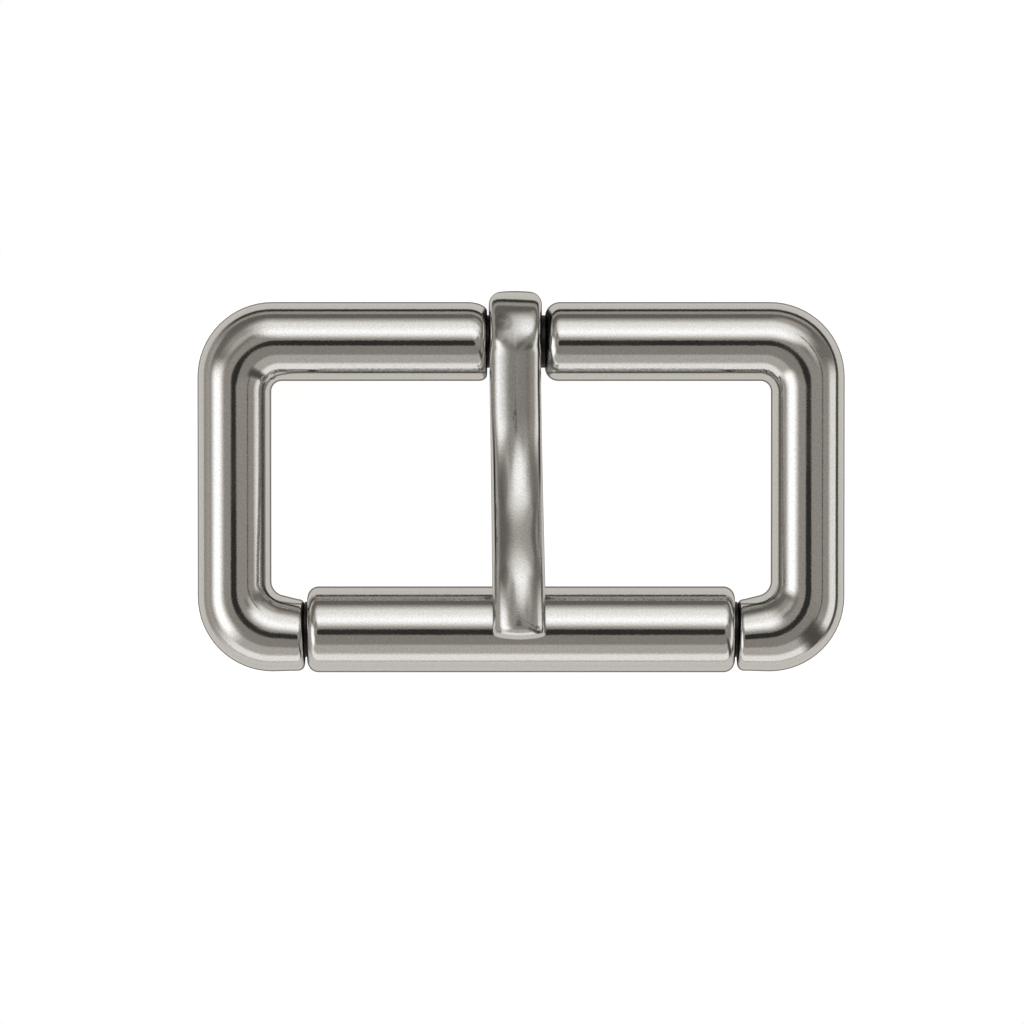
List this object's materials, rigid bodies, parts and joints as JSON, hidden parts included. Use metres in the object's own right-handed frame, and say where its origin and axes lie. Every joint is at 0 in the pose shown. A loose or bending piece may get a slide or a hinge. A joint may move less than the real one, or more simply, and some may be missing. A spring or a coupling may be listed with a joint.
{
  "type": "roller buckle",
  "caption": "Roller buckle for a 38 mm strap: a round-bar frame with a hinged tongue on its heel bar and a turning roller opposite.",
  "frame": {"origin": "under the middle of the buckle's bounding box, on the surface that it lies on", "axes": "+X along the bars, +Y from the roller to the heel bar, +Z out of the front face"},
  "size_m": [0.0492, 0.029, 0.0111],
  "materials": {
    "nickel_frame": "polished nickel plate",
    "nickel_tongue": "nickel plate, a little softer than the frame's",
    "nickel_roller": "polished nickel plate"
  },
  "bodies": {
    "frame": {"frame": "nickel_frame"},
    "tongue": {"tongue": "nickel_tongue"},
    "roller": {"roller": "nickel_roller"}
  },
  "joints": [
    {"name": "tongue_hinge", "type": "hinge", "parent": "frame", "child": "tongue", "pos_m": [-0.00045, 0.01066, 0.00384], "axis": [-1, 0, 0], "range_deg": [0, 330]},
    {"name": "roller_spin", "type": "hinge", "parent": "frame", "child": "roller", "pos_m": [0, -0.01123, 0.00327], "axis": [1, 0, 0], "continuous": true}
  ]
}
